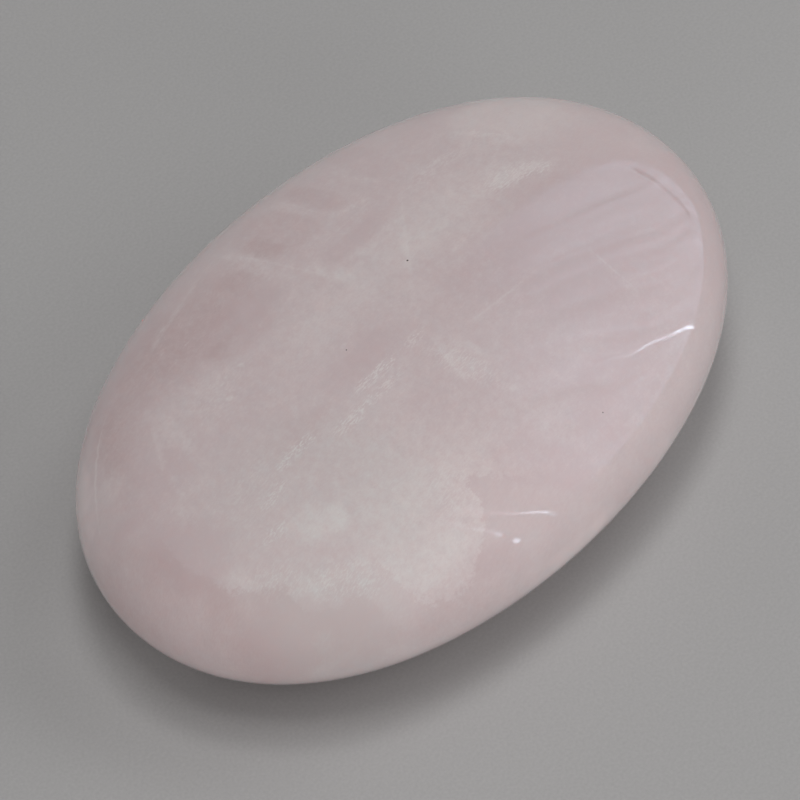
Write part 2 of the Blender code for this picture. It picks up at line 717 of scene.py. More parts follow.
def panes() -> list[Marking]:
    """The stretches between the flat sheets that cross the stone, each a little pinker or clearer.

    Returns:
        The markings.
    """
    marks = [
        patch(0.2, 15.4, 3.7, 4.0, 0.0, milk=-0.06, pink=0.30, core=0.75),
        patch(-1.9, 14.9, 1.5, 2.5, 0.0, milk=-0.06, pink=0.34, core=0.6),
        patch(6.0, 15.4, 1.5, 3.7, 3.0, milk=-0.12, pink=0.24, core=0.7),
        patch(-6.3, 12.6, 1.9, 3.7, 0.0, milk=-0.06, pink=0.14, core=0.7),
        patch(-12.6, 12.4, 3.9, 3.2, 8.0, milk=-0.04, pink=0.12, core=0.6),
        patch(-11.4, 9.2, 4.8, 1.9, -6.0, milk=-0.10, pink=0.26, core=0.5),
        patch(3.1, 8.5, 4.8, 1.2, -3.0, milk=-0.20, pink=0.06, core=0.65),
        patch(-7.6, -0.9, 5.6, 1.9, -4.0, milk=-0.20, pink=0.10, core=0.5),
        patch(12.4, 14.6, 2.2, 3.8, -8.0, milk=-0.12, core=0.7),
        patch(-5.0, -18.6, 5.4, 2.1, -40.0, milk=-0.16, core=0.7),
        patch(-13.4, -20.5, 2.8, 0.9, -15.0, milk=-0.12, core=0.6),
        patch(9.8, 3.0, 6.0, 2.5, 4.0, milk=0.07, core=0.75),
        patch(9.0, -3.4, 7.6, 2.8, 0.0, milk=-0.10, pink=0.10, core=0.6),
        patch(-31.4, -8.8, 1.2, 4.2, 36.0, milk=0.10, core=0.6),
        patch(-8.0, -8.6, 2.6, 3.0, 12.0, milk=-0.12, core=0.4),
    ]
    return alike(Habit.PANE, marks)


def veils() -> list[Marking]:
    """The sheets that cross the upper face, soft ones and threads.

    Returns:
        The markings.
    """
    return [
        sheet((-1.1, -2.1), (11.5, 9.8), 0.2, 0.48, 0.08),
        sheet((-1.1, -2.1), (11.5, 9.8), 0.4, 1.3, 0.15),
        sheet((10.2, 9.2), (21.0, 5.8), 1.2, 0.9, 0.22),
        sheet((-4.4, 20.4), (-3.4, 11.8), 0.2, 0.9, 0.26),
        sheet((-3.7, 19.0), (-1.0, 4.9), -0.5, 0.46, 0.14),
        sheet((-3.8, 12.6), (-1.0, 4.9), 0.4, 1.0, 0.26),
        sheet((-3.9, 19.2), (-2.7, 11.0), 0.3, 1.5, 0.18),
        sheet((4.3, 19.4), (4.3, 11.4), 0.0, 0.46, 0.18),
        sheet((3.6, 19.4), (3.6, 12.0), 0.0, 1.6, 0.16),
        sheet((-8.5, 17.6), (-7.4, 10.3), 0.0, 0.8, 0.26),
        sheet((-20.8, 15.0), (-4.2, 18.5), 0.3, 0.8, 0.30),
        sheet((-28.2, 0.6), (-22.8, 10.3), 0.9, 1.1, 0.34),
        sheet((9.6, 15.6), (10.8, 10.4), 0.0, 0.8, 0.20),
        sheet((-2.1, 9.1), (6.4, 5.7), -0.5, 0.9, 0.26),
        sheet((3.6, 12.4), (9.6, 10.3), 0.0, 0.8, 0.24),
        sheet((-1.0, -2.4), (-1.1, -13.0), 0.3, 0.9, 0.26),
        sheet((-1.2, -3.0), (-4.0, -11.0), -0.3, 0.9, 0.34),
        sheet((-1.1, -2.4), (-4.2, -11.6), -0.4, 0.48, 0.12),
        sheet((15.8, -6.0), (14.8, -17.6), -0.2, 0.9, 0.24),
        sheet((15.7, -6.4), (15.1, -15.4), -0.1, 0.44, 0.22),
        sheet((2.0, 0.5), (16.4, 0.4), 0.0, 0.8, 0.18),
        sheet((4.6, 5.2), (11.6, 1.9), 0.0, 0.8, 0.16),
        sheet((-27.8, -8.8), (-27.6, -12.6), 0.4, 0.8, 0.24),
        sheet((0.4, -5.6), (11.4, -6.5), -0.2, 0.40, 0.22),
        sheet((0.2, -5.5), (12.0, -6.6), -0.2, 1.0, 0.12),
        sheet((0.0, 10.4), (10.0, 10.4), 0.0, 0.35, 0.14),
        sheet((20.2, -0.4), (21.6, -2.5), 0.0, 0.45, -0.60),
        sheet((-33.2, 7.4), (-22.0, 15.8), 1.0, 0.3, 0.40),
    ]


def cracks() -> list[Marking]:
    """The healed cracks, which show as short dashes.

    Returns:
        The markings.
    """
    marks = [
        patch(-18.8, -2.5, 3.2, 0.8, 0.0, milk=0.80, core=0.4),
        patch(-23.2, -3.7, 2.6, 0.6, 0.0, milk=0.55, core=0.3),
        patch(-26.0, -6.0, 2.0, 0.7, -10.0, milk=0.50, core=0.3),
        patch(-13.6, -4.2, 2.6, 0.8, -6.0, milk=0.70, core=0.4),
        patch(-8.2, -2.9, 3.6, 0.8, 0.0, milk=0.80, core=0.4),
        patch(-9.5, -4.4, 4.4, 0.6, 0.0, milk=0.50, core=0.4),
        patch(-3.2, -3.1, 2.2, 0.7, 0.0, milk=0.60, core=0.3),
        patch(18.0, 2.4, 4.2, 1.5, -12.0, milk=0.50, core=0.4),
        patch(20.0, 1.2, 2.6, 0.9, -26.0, milk=0.60, core=0.4),
        patch(-25.0, -13.0, 5.0, 2.2, -40.0, milk=0.30, core=0.3),
        patch(-28.8, -8.4, 3.6, 2.2, -50.0, milk=0.24, core=0.2),
        patch(-24.0, -1.6, 6.0, 3.6, 0.0, milk=0.12, core=0.2),
        patch(-13.0, -15.0, 3.0, 4.0, 0.0, milk=0.16, core=0.2),
        patch(-2.6, -8.0, 1.8, 5.0, 10.0, milk=0.40, core=0.2),
        patch(-17.0, 7.0, 5.0, 3.0, 0.0, milk=0.16, core=0.2),
        patch(15.4, 8.2, 6.0, 1.4, -4.0, milk=0.24, core=0.2),
    ]
    return alike(Habit.FIBRES, marks)


def spots() -> list[Marking]:
    """The white flecks and the dark specks of the upper face.

    Returns:
        The markings.
    """
    flecks = [
        patch(-17.7, 5.8, 0.50, 0.38, 0.0, milk=0.50),
        patch(-14.2, 7.3, 0.42, 0.30, 0.0, milk=0.34),
        patch(-14.4, 13.3, 0.50, 0.16, 0.0, milk=0.34),
        patch(-7.5, 1.2, 0.60, 0.30, 0.0, milk=0.30),
        patch(-1.4, -12.8, 0.60, 0.45, 0.0, milk=0.34),
    ]
    specks = [
        patch(3.7, 2.9, 0.13, 0.11, 0.0, milk=1.0, core=0.5),
        patch(-7.8, 0.7, 0.09, 0.08, 0.0, milk=1.0, core=0.4),
        patch(3.0, -19.3, 0.08, 0.08, 0.0, milk=0.8, core=0.4),
    ]
    return alike(Habit.FLECK, flecks) + alike(Habit.SPECK, specks)


def lower_markings(shape: PebbleShape) -> list[Marking]:
    """Veils, and swellings that show only in the crisp cloud, scattered through the lower half.

    Args:
        shape: the stone's sizes.

    Returns:
        The markings, in a fixed arrangement.
    """
    chance = random.Random(LOWER_SEED)
    half_length = shape.length / 2 / MM
    half_width = shape.width / 2 / MM
    scattered = []
    for number in range(LOWER_COUNT):
        turn = chance.uniform(0, math.tau)
        out = math.sqrt(chance.random()) * LOWER_SHARE
        low = chance.uniform(-BROW_MM, LOWER_REACH_MM - BROW_MM)
        at = (half_length * out * math.cos(turn), half_width * out * math.sin(turn), low)
        along = chance.uniform(4.0, 9.0)
        lean = chance.gauss(8.0, 25.0)
        habit = (Habit.BILLOW, Habit.VEIL)[number % 2]
        across = chance.uniform(0.4, 0.7) if habit is Habit.VEIL else along * chance.uniform(0.3, 0.7)
        milk = chance.uniform(0.12, 0.30)
        bend = chance.uniform(-3.0, 3.0) if habit is Habit.VEIL else 0.0
        reach = (along, across, LOWER_REACH_MM)
        core = chance.uniform(0.1, 0.4)
        scattered.append(Marking(at, reach, lean, milk, habit=habit, core=core, bend=bend))
    return scattered


class MarkingField:
    """Works out in a node tree how strongly markings show at a point."""

    # How deep a point is counted that is in none of the markings.
    OUTSIDE_MM = -3.0

    def __init__(self, graph: Graph) -> None:
        """Makes the node groups for rounded, bowed and squared markings.

        Args:
            graph: the tree that the markings are drawn in.
        """
        self.graph = graph
        self.rounded = self._falloff_group("marking_falloff")
        self.bowed = self._falloff_group("bowed_marking_falloff", bowed=True)
        self.squared = self._falloff_group("squared_marking_falloff", squared=True)

    def summed(self, route: Wire, marks: list[Marking], of_pink: bool = False) -> Wire:
        """What markings add to the quartz where each adds to the next.

        Args:
            route: the coordinate that they are drawn on.
            marks: the markings.
            of_pink: whether their pink is wanted and not their milk.

        Returns:
            The milk or the pink that they add.
        """
        whole: Wire = 0.0
        for mark in marks:
            amount = mark.pink if of_pink else mark.milk
            if amount:
                strength = self._inside(route, mark, "Strength")
                whole = self.graph.math("MULTIPLY_ADD", strength, amount, whole)
        return whole

    def strongest(self, route: Wire, marks: list[Marking]) -> Wire:
        """What markings add to the quartz where the strongest of those that overlap hides the others.

        Args:
            route: the coordinate that they are drawn on.
            marks: the markings, which all whiten the quartz or all clear it.

        Returns:
            The milk of the strongest.
        """
        extreme: Wire = 0.0
        for mark in marks:
            milk = self.graph.math("MULTIPLY", self._inside(route, mark, "Strength"), mark.milk)
            extreme = self.graph.math("MAXIMUM" if mark.milk > 0 else "MINIMUM", milk, extreme)
        return extreme

    def depth(self, route: Wire, marks: list[Marking]) -> Wire:
        """How deep inside the joint outline of markings a point is.

        Args:
            route: the coordinate that they are drawn on.
            marks: the markings.

        Returns:
            The depth in millimetres, negative outside.
        """
        deepest: Wire = self.OUTSIDE_MM
        for mark in marks:
            depth = self.graph.math("MULTIPLY", self._inside(route, mark, "Depth"), min(mark.reach))
            deepest = self.graph.math("MAXIMUM", depth, deepest)
        return deepest

    def _inside(self, route: Wire, mark: Marking, wanted: str) -> Socket:
        """How strongly one marking shows at a point, or how deep in it the point is.

        Args:
            route: the coordinate that it is drawn on.
            mark: the marking.
            wanted: Strength, from 0 to 1, or Depth, 1 in its middle and 0 at its reach.

        Returns:
            The number.
        """
        along, across, upward = mark.axes()
        places = {"Point": route, "Middle": mark.at, "Along": along, "Across": across, "Upward": upward}
        if mark.habit is Habit.PANE:
            tree = self.squared
        else:
            tree = self.bowed if mark.bend else self.rounded
        return self.graph.group(tree, {**places, "Core": mark.core, "Bend": mark.bend}).outputs[wanted]

    def _falloff_group(
        self, name: str, bowed: bool = False, squared: bool = False
    ) -> bpy.types.NodeTree:
        """The node group that says how far inside a marking a point is.

        Args:
            name: the group's name.
            bowed: whether the marking bows across its length.
            squared: whether its outline is nearly a rectangle and not an ellipse.

        Returns:
            The group.
        """
        tree = bpy.data.node_groups.new(name, self.graph.tree.bl_idname)
        for vector in ("Point", "Middle", "Along", "Across", "Upward"):
            tree.interface.new_socket(vector, in_out="INPUT", socket_type="NodeSocketVector")
        for number in ("Core", "Bend"):
            tree.interface.new_socket(number, in_out="INPUT", socket_type="NodeSocketFloat")
        for number in ("Strength", "Depth"):
            tree.interface.new_socket(number, in_out="OUTPUT", socket_type="NodeSocketFloat")
        graph = Graph(tree)
        given = tree.nodes.new("NodeGroupInput").outputs
        away = graph.vector("SUBTRACT", given["Point"], given["Middle"])
        along, across, upward = (graph.dot(away, given[axis]) for axis in ("Along", "Across", "Upward"))
        if bowed:
            bow = graph.math("MULTIPLY", along, along)
            across = graph.math("MULTIPLY_ADD", bow, given["Bend"], across)
        inside = graph.join(along, across, upward)
        outwards = graph.length(inside)
        if squared:
            outwards = graph.math("SQRT", graph.length(graph.vector("MULTIPLY", inside, inside)))
        strength = graph.step(outwards, 1.0, given["Core"])
        depth = graph.math("SUBTRACT", 1.0, outwards)
        graph.add("NodeGroupOutput", {"Strength": strength, "Depth": depth})
        return tree


def under_brow(graph: Graph, place: Wire) -> Socket:
    """The coordinate that markings are placed on: a point with its height from the brow, 0 above it.

    Args:
        graph: the tree.
        place: the point, in millimetres.

    Returns:
        The coordinate.
    """
    x, y, z = graph.split(place)
    return graph.join(x, y, graph.math("MINIMUM", graph.math("SUBTRACT", z, BROW_MM), 0.0))


class QuartzTones:
    """Where the quartz is milky, pink or cracked, and where a painted glow lightens its rim, worked out
    once for each point of the mesh.

    The pushes make outlines uneven: loose ones for clouds, ragged ones for the crisp cloud and
    gentle ones for sheets. Sizes are in millimetres.
    """

    LOOSE: tuple[Push, ...] = ((Grain(9.0, 2.0), 3.2), (Grain(2.6, 4.0), 1.5))
    RAGGED: tuple[Push, ...] = ((Grain(7.0, 2.0), 0.8), (Grain(2.4, 4.0), 0.9))
    GENTLE: tuple[Push, ...] = ((Grain(6.0, 2.0), 0.6), (Grain(1.5, 3.0), 0.3))
    # The patterns of the milk, the pink and the gaps in veils, and how far they change them.
    DRIFTS = Grain(12.0, 5.0, 0.6)
    WISPS = Grain(2.6, 4.0, 0.75, stretch=(0.45, 1.0, 1.0))
    BLUSHES = Grain(9.0, 4.0, 0.6)
    BREAKS = Grain(1.8)
    BREAK_HEIGHTS = (0.30, 0.64)
    BREAK_STRENGTHS = (0.45, 1.15)
    EVEN_MILK = 0.25
    DRIFT_REACH = 0.06
    WISP_REACH = 0.10
    BLUSH_REACH = 0.16
    # How deep in the crisp cloud a point is counted at most.
    DEEP_MM = 3.0

    def __init__(self, shape: PebbleShape) -> None:
        """Collects the markings that are broad enough to be stored at the mesh's points.

        Args:
            shape: the stone's sizes.
        """
        upper = crisp_cloud() + billows() + tones() + skin() + panes() + veils() + cracks()
        self.markings = upper + lower_markings(shape)

    def at(self, graph: Graph, place: Wire) -> dict[str, Wire]:
        """The values to store at a point.

        Args:
            graph: the geometry node tree.
            place: the point, in millimetres.

        Returns:
            The tones, which are milk, blush and depth in the crisp cloud, and the threads, which are
            fibres, swellings and the rim's blush, under the names that the finish reads. Where the blush
            is negative it stands for a painted glow at the rim.
        """
        field = MarkingField(graph)
        of_habit = {habit: [mark for mark in self.markings if mark.habit is habit] for habit in Habit}
        brow = under_brow(graph, place)
        loose = graph.wander(brow, *self.LOOSE)
        ragged = graph.wander(brow, *self.RAGGED)
        gentle = graph.wander(brow, *self.GENTLE)

        swellings = field.strongest(loose, of_habit[Habit.BILLOW])
        gaps = field.strongest(loose, of_habit[Habit.HOLLOW])
        haze = field.summed(loose, of_habit[Habit.HAZE])
        whole_sheets = field.summed(gentle, of_habit[Habit.VEIL])
        sheets = graph.math("MULTIPLY", whole_sheets, self._breaks(graph, place))
        panes = field.summed(gentle, of_habit[Habit.PANE])
        milk = graph.total(self._drift(graph, place), haze, gaps, sheets, panes)

        # Negative blush marks the painted glow of the rim.
        blush = field.summed(loose, of_habit[Habit.HAZE], of_pink=True)
        blush = graph.math("ADD", blush, field.summed(gentle, of_habit[Habit.PANE], of_pink=True))
        uneven = graph.spread(graph.noise(place, self.BLUSHES), self.BLUSH_REACH)
        blush = graph.math("ADD", blush, uneven)
        depth = graph.math("MINIMUM", field.depth(ragged, of_habit[Habit.COTTON]), self.DEEP_MM)
        fibres = field.summed(gentle, of_habit[Habit.FIBRES])
        skin_blush = field.summed(loose, of_habit[Habit.SKIN], of_pink=True)
        return {TONES: graph.join(milk, blush, depth), THREADS: graph.join(fibres, swellings, skin_blush)}

    def _breaks(self, graph: Graph, place: Wire) -> Socket:
        """How whole a veil is, so that it comes and goes along its length."""
        breaks = graph.noise(place, self.BREAKS).outputs["Fac"]
        return graph.step(breaks, *self.BREAK_HEIGHTS, *self.BREAK_STRENGTHS)

    def _drift(self, graph: Graph, place: Wire) -> Socket:
        """How milky the quartz is between its markings: broad drifts and wisps along the stone.

        Args:
            graph: the geometry node tree.
            place: the point, in millimetres.

        Returns:
            The milk.
        """
        drifts = graph.spread(graph.noise(place, self.DRIFTS), self.DRIFT_REACH)
        wisps = graph.spread(graph.noise(place, self.WISPS), self.WISP_REACH)
        return graph.total(self.EVEN_MILK, drifts, wisps)


@dataclass(frozen=True)
class RoseQuartz:
    """Polished rose quartz: pale pink, milky in clouds, crossed by veils, and glossy, with a painted glow
    at its rim.

    Attributes:
        painted_glow: the clear quartz at the rim lightened by a painted glow, which stands for light
        shining through it.
        pink: the clear quartz where it is deepest in colour.
        plain: the clear quartz elsewhere.
        milk: the cloudiest quartz.
        ash: the clear quartz of a greyer stretch, which is nowhere wholly reached.
        cotton: the cloudiest quartz of a greyer stretch.
        soot: a dark speck.
        index: its refractive index.
        gloss: how rough the polish is where it is best.
        dull: how rough the polish is where it is worst.
        smears: the heights of the smears' pattern at which the polish is best and worst.
        glow: how far light spreads inside, for red, green and blue.
        shreds: how far the fluff moves the crisp cloud's outline, in millimetres.
        outline: the depths at which the crisp cloud begins and is whole, in millimetres.
        bank: how strong the crisp cloud's swellings are at its outline, and the change per millimetre
            further in.
        lumps: how much the fluff changes those swellings.
        dashes: the heights of the streaks at which a dash begins and is whole.
        wool: how much the fluff changes the milk.
        wool_depths: the depths between which the wool gets stronger, in millimetres.
        wool_outside: the share of the wool that is left outside the crisp cloud.
        silk: how much the streaks change the milk.
        cover: how much of the rim's blush the crisp cloud hides.
        painted_glow_blush: the negative blush at which the painted glow starts to lighten the clear
        quartz, and at which it is whole.
        pink_blush: the blush at which it starts to look pinker, and is pinkest.
        milk_range: the milk at which it starts to look milky, and is wholly milk.
        ashen: how many times as strongly grey shows in the milk as in the clear quartz.
    """

    # Patterns in millimetres, and how far the last one pushes the outlines of thin markings.
    FLUFF: ClassVar[Grain] = Grain(0.9, 4.5, 0.85)
    STREAKS: ClassVar[Grain] = Grain(0.14, 2.0, 0.7, stretch=(0.26, 1.0, 0.3))
    SMEARS: ClassVar[Grain] = Grain(9.0, 4.0, 0.6)
    WEAR: ClassVar[Grain] = Grain(0.8, 1.0)
    FRAY: ClassVar[Push] = (Grain(0.8), 0.14)
    WEAR_HEIGHT: ClassVar[float] = 0.02 * MM
    WEAR_STRENGTH: ClassVar[float] = 0.02

    painted_glow: Colour = (0.86, 0.74, 0.745)
    pink: Colour = (0.615, 0.475, 0.48)
    plain: Colour = (0.685, 0.572, 0.582)
    milk: Colour = (0.80, 0.738, 0.730)
    ash: Colour = (0.64, 0.60, 0.592)
    cotton: Colour = (0.756, 0.740, 0.724)
    soot: Colour = (0.04, 0.03, 0.03)
    index: float = 1.54
    gloss: float = 0.03
    dull: float = 0.06
    smears: tuple[float, float] = (0.35, 0.7)
    glow: Point = (10.0 * MM, 7.5 * MM, 7.2 * MM)
    shreds: float = 0.55
    outline: tuple[float, float] = (-0.2, 0.2)
    bank: tuple[float, float] = (1.3, -0.15)
    lumps: float = 0.15
    dashes: tuple[float, float] = (0.49, 0.61)
    wool: float = 0.28
    wool_depths: tuple[float, float] = (-0.6, 0.6)
    wool_outside: float = 0.35
    silk: float = 0.12
    cover: float = 0.8
    painted_glow_blush: tuple[float, float] = (-0.25, -1.0)
    pink_blush: tuple[float, float] = (-0.15, 1.0)
    milk_range: tuple[float, float] = (-0.15, 1.15)
    ashen: float = 2.5

    def material(self) -> bpy.types.Material:
        """Makes the finish.

        Returns:
            The material.
        """
        material = bpy.data.materials.new("polished_rose_quartz")
        material.use_nodes = True
        graph = Graph(material.node_tree)
        shader = material.node_tree.nodes["Principled BSDF"]
        place = graph.scale(graph.add("ShaderNodeTexCoord").outputs["Object"], 1.0 / MM)
        graph.feed(shader.inputs["Base Color"], self._colour(graph, place))
        graph.feed(shader.inputs["Roughness"], self._polish(graph, place))
        graph.feed(shader.inputs["Normal"], self._fine_wear(graph, place))
        shader.inputs["IOR"].default_value = self.index
        shader.inputs["Subsurface Weight"].default_value = 1.0
        shader.inputs["Subsurface Radius"].default_value = tuple(far / max(self.glow) for far in self.glow)
        shader.inputs["Subsurface Scale"].default_value = max(self.glow)
        return material

    def _colour(self, graph: Graph, place: Wire) -> Socket:
        """The quartz's colour at a point.

        Args:
            graph: the material's tree.
            place: the point, in millimetres.

        Returns:
            The colour.
        """
        milk, blush, depth = graph.split(graph.stored(TONES))
        fibres, swellings, skin_blush = graph.split(graph.stored(THREADS))
        fluff = graph.noise(place, self.FLUFF)
        shreds = graph.math("ADD", depth, graph.spread(fluff, self.shreds))
        inside = graph.step(shreds, *self.outline)
        at_outline, inwards = self.bank
        bank = graph.math("MULTIPLY_ADD", depth, inwards, at_outline)
        lumps = graph.math("MULTIPLY", inside, graph.math("ADD", bank, graph.spread(fluff, self.lumps)))
        cotton = graph.math("MULTIPLY", swellings, lumps)
        streaks = graph.noise(place, self.STREAKS)
        dashes = graph.math("MULTIPLY", fibres, graph.step(streaks.outputs["Fac"], *self.dashes))
        drawn = self._thin_markings(graph, place)
        milk = graph.total(milk, cotton, dashes, drawn[Habit.THREAD], drawn[Habit.FLECK])
        woolliness = graph.step(depth, *self.wool_depths, self.wool_outside, 1.0)
        wool = graph.math("MULTIPLY", graph.spread(fluff, self.wool), woolliness)
        milk = graph.total(milk, wool, graph.spread(streaks, self.silk))
        uncovered = graph.math("MULTIPLY_ADD", inside, -self.cover, 1.0)
        blush = graph.math("MULTIPLY_ADD", skin_blush, uncovered, blush)
        # Painted glow: a negative blush lightens the clear quartz towards a paler colour that stands for
        # light shining through the rim.
        body = graph.mix(graph.step(blush, *self.painted_glow_blush), self.plain, self.painted_glow)
        body = graph.mix(graph.step(blush, *self.pink_blush), body, self.pink)
        body = graph.mix(drawn[Habit.ASH], body, self.ash)
        white = graph.mix(graph.math("MULTIPLY", drawn[Habit.ASH], self.ashen), self.milk, self.cotton)
        quartz = graph.mix(graph.step(milk, *self.milk_range), body, white)
        return graph.mix(drawn[Habit.SPECK], quartz, self.soot)

    def _thin_markings(self, graph: Graph, place: Wire) -> dict[Habit, Wire]:
        """The markings that are too thin to be stored at the mesh's points, and the greyer stretches.

        Args:
            graph: the material's tree.
            place: the point, in millimetres.

        Returns:
            How strongly each habit shows at the point.
        """
        field = MarkingField(graph)
        frayed = graph.wander(under_brow(graph, place), self.FRAY)
        marks = veils() + spots() + ashes()
        drawn = (Habit.THREAD, Habit.FLECK, Habit.SPECK, Habit.ASH)
        return {
            habit: field.summed(frayed, [mark for mark in marks if mark.habit is habit]) for habit in drawn
        }

    def _polish(self, graph: Graph, place: Wire) -> Socket:
        """How rough the polish is, a little uneven as a hand leaves it.

        Args:
            graph: the material's tree.
            place: the point, in millimetres.

        Returns:
            The roughness.
        """
        smears = graph.noise(place, self.SMEARS).outputs["Fac"]
        return graph.step(smears, *self.smears, self.gloss, self.dull)

    def _fine_wear(self, graph: Graph, place: Wire) -> Socket:
        """The faint grain that polishing leaves in the surface.

        Args:
            graph: the material's tree.
            place: the point, in millimetres.

        Returns:
            The bumped normal.
        """
        wear = graph.noise(place, self.WEAR).outputs["Fac"]
        inputs = {"Height": wear, "Strength": self.WEAR_STRENGTH, "Distance": self.WEAR_HEIGHT}
        return graph.add("ShaderNodeBump", inputs).outputs["Normal"]


class PalmStone:
    """The whole object: one polished stone."""

    def __init__(self, shape: PebbleShape, quartz: RoseQuartz) -> None:
        """Keeps the stone's sizes and finish.

        Args:
            shape: the rule's sizes.
            quartz: the finish.
        """
        self.shape = shape
        self.quartz = quartz

    def build(self) -> bpy.types.Object:
        """Makes the stone's mesh by the geometry node tree, as a plain mesh at the origin.

        Returns:
            The stone.
        """
        material = self.quartz.material()
        stone = bpy.data.objects.new("palm_stone", bpy.data.meshes.new("palm_stone_start"))
        bpy.context.scene.collection.objects.link(stone)
        maker = PebbleTree(QuartzTones(self.shape))
        modifier = stone.modifiers.new("pebble", "NODES")
        modifier.node_group = maker.tree
        values = maker.values_for(self.shape, material)
        for item in maker.tree.interface.items_tree:
            if item.in_out == "INPUT":
                modifier[item.identifier] = values[item.name]
        shown = stone.evaluated_get(bpy.context.evaluated_depsgraph_get())
        mesh = bpy.data.meshes.new_from_object(shown)
        stone.modifiers.clear()
        stone.data = mesh
        mesh.name = "palm_stone"
        mesh.materials.clear()
        mesh.materials.append(material)
        LOG.info("palm stone: %d faces", len(mesh.polygons))
        return stone

    def place(self, stone: bpy.types.Object) -> None:
        """Ties the stone to the frame, in place of its CAD solid.

        Args:
            stone: the stone.
        """
        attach(stone, "root")
        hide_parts(STONE_NODE)


@dataclass(frozen=True)
class Viewpoint:
    """Where the stone is seen from.

    Attributes:
        heading: the camera's place round the stone, in degrees; at 0 it looks along +Y.
        elevation: its height above the table, in degrees.
        distance: how far it is from the stone's middle.
        scale: how many pixels a millimetre takes at the stone's middle.
        middle_px: where the stone's middle falls in the picture.
    """

    heading: float = -52.0
    elevation: float = 50.0
    distance: float = 465.0 * MM
    scale: float = 11.17
    middle_px: tuple[float, float] = (407.4, 380.3)

    def axes(self) -> tuple[Vector, Vector, Vector]:
        """The camera's right, up and back.

        Returns:
            Three unit vectors.
        """
        turn = math.radians(self.heading)
        rise = math.radians(self.elevation)
        level = math.cos(rise)
        back = Vector((math.sin(turn) * level, -math.cos(turn) * level, math.sin(rise)))
        right = Vector((math.cos(turn), math.sin(turn), 0.0))
        return right, back.cross(right), back

    def towards(self, side: float, height: float) -> Vector:
        """The direction at an angle right of the camera's heading and above the table.

        Args:
            side: degrees to the right.
            height: degrees up.

        Returns:
            A unit vector.
        """
        turn = math.radians(90.0 + self.heading - side)
        level = math.cos(math.radians(height))
        return Vector((math.cos(turn) * level, math.sin(turn) * level, math.sin(math.radians(height))))

    def build(self, subject: Vector) -> bpy.types.Object:
        """Makes the camera.

        Args:
            subject: the stone's middle.

        Returns:
            The camera.
        """
        right, up, back = self.axes()
        beside = (self.middle_px[0] - IMAGE_SIDE_PX / 2) / self.scale * MM
        below = (self.middle_px[1] - IMAGE_SIDE_PX / 2) / self.scale * MM
        data = bpy.data.cameras.new("viewpoint")
        data.sensor_width = SENSOR_WIDTH_MM
        data.lens = SENSOR_WIDTH_MM * self.distance * self.scale / IMAGE_SIDE_PX / MM
        data.clip_start = 0.01
        data.clip_end = 100.0
        camera = bpy.data.objects.new("viewpoint", data)
        camera.location = subject + back * self.distance - right * beside + up * below
        camera.rotation_euler = back.to_track_quat("Z", "Y").to_euler()
        bpy.context.scene.collection.objects.link(camera)
        bpy.context.scene.camera = camera
        return camera


@dataclass(frozen=True)
class Lamp:
    """A soft light panel that faces the stone.

    Attributes:
        name: what it is.
        side: degrees right of the way the camera looks.
        height: degrees above the table.
        size: its width and height.
        watts: its power.
        distance: how far it is from the stone.
    """

    name: str
    side: float
    height: float
    size: tuple[float, float]
    watts: float
    distance: float = 0.6

    def build(self, view: Viewpoint, target: Vector) -> bpy.types.Object:
        """Makes the lamp, turned towards the stone and left out of its reflections.

        Args:
            view: the camera's place.
            target: the point that it lights.

        Returns:
            The lamp.
        """
        data = bpy.data.lights.new(self.name, "AREA")
        data.shape = "ELLIPSE"
        data.size, data.size_y = self.size
        data.energy = self.watts
        lamp = bpy.data.objects.new(self.name, data)
        towards = view.towards(self.side, self.height)
        lamp.location = target + towards * self.distance
        lamp.rotation_euler = towards.to_track_quat("Z", "Y").to_euler()
        lamp.visible_glossy = False
        lamp.visible_camera = False
        bpy.context.scene.collection.objects.link(lamp)
        return lamp


@dataclass(frozen=True)
class Slit:
    """A bright slit between two folds of the cloth, or a dark gap between them.

    Attributes:
        low: one end, in degrees right of the camera's heading and above the table.
        high: the other end, higher or lower.
        width: how wide it is, in degrees.
        light: how much brighter than the cloth it is, negative where it is darker.
        fade: the share of its height over which its upper end fades.
    """

    low: tuple[float, float]
    high: tuple[float, float]
    width: float
    light: float
    fade: float = 0.3


